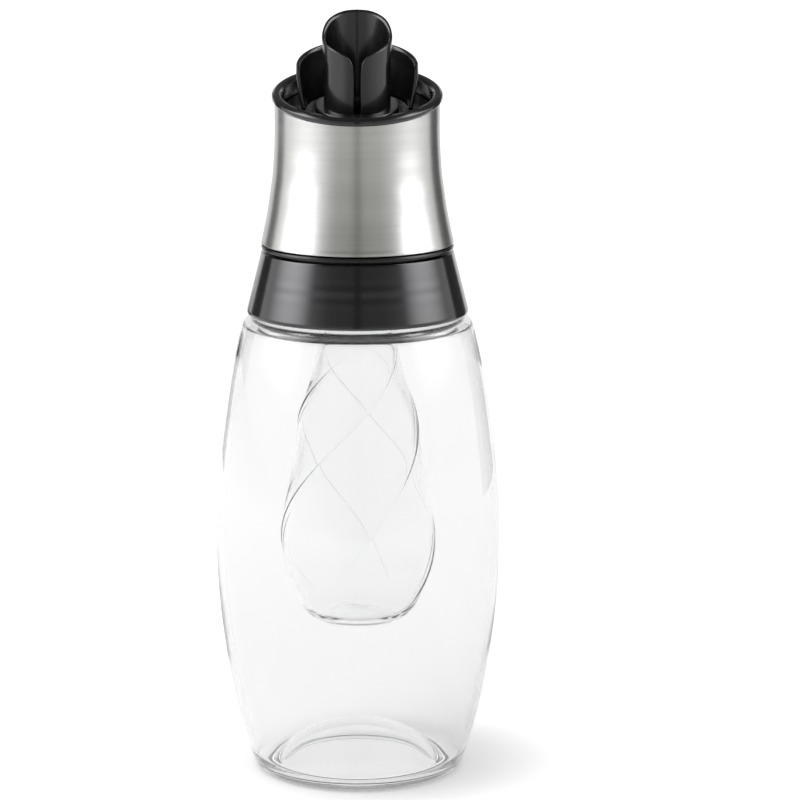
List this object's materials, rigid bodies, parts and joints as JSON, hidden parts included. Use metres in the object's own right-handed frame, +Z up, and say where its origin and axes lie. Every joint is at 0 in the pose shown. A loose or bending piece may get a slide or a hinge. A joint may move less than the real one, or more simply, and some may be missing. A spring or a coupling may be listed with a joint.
{
  "type": "oil and vinegar bottle",
  "caption": "Clear glass oil bottle with a swirled glass vinegar flask hung inside it, and a lift-off stopper whose steel head turns to choose which of the nested black spouts pours.",
  "frame": {"origin": "centre of the bottle's foot on the table", "axes": "+Z up along the bottle's axis; -Y towards the low front of the slanted head, where the slit of the vinegar spout is; +X to the right seen from the front"},
  "size_m": [0.0846, 0.0846, 0.2265],
  "materials": {
    "clear_glass": "clear, polished, faintly wavy",
    "black_gloss": "gloss black moulding",
    "black_moulding": "satin black inner moulding",
    "silicone": "translucent grey silicone",
    "dark_ring": "smooth dark grey",
    "steel_sheet": "brushed around the axis, unmarked",
    "spring_steel": "plain spring steel"
  },
  "bodies": {
    "bottle": {"bottle_body": "clear_glass"},
    "stopper": {"neck_collar": "black_gloss", "stopper_plug": "black_moulding", "mouth_seal_upper": "silicone", "mouth_seal_lower": "silicone", "flask_seal": "silicone", "valve_gasket": "silicone", "slip_ring": "dark_ring"},
    "flask": {"vinegar_flask": "clear_glass"},
    "pour_head": {"steel_sleeve": "steel_sheet", "sleeve_liner": "black_moulding", "retaining_ring": "spring_steel", "rim_ring": "black_gloss", "pour_deck": "black_gloss", "valve_rotor": "black_moulding", "vinegar_duct": "black_moulding", "oil_duct": "black_moulding", "vinegar_spout": "black_gloss", "oil_spout": "black_gloss"}
  },
  "joints": [
    {"name": "head_lift", "type": "slide", "parent": "bottle", "child": "stopper", "axis": [0, 0, 1], "range_m": [0, 0.115]},
    {"name": "flow_select", "type": "hinge", "parent": "stopper", "child": "pour_head", "pos_m": [0, 0, 0.158], "axis": [0, 0, 1], "range_deg": [-45, 45]},
    {"name": "flask_release", "type": "slide", "parent": "stopper", "child": "flask", "axis": [0, 0, -1], "range_m": [0, 0.028]}
  ]
}
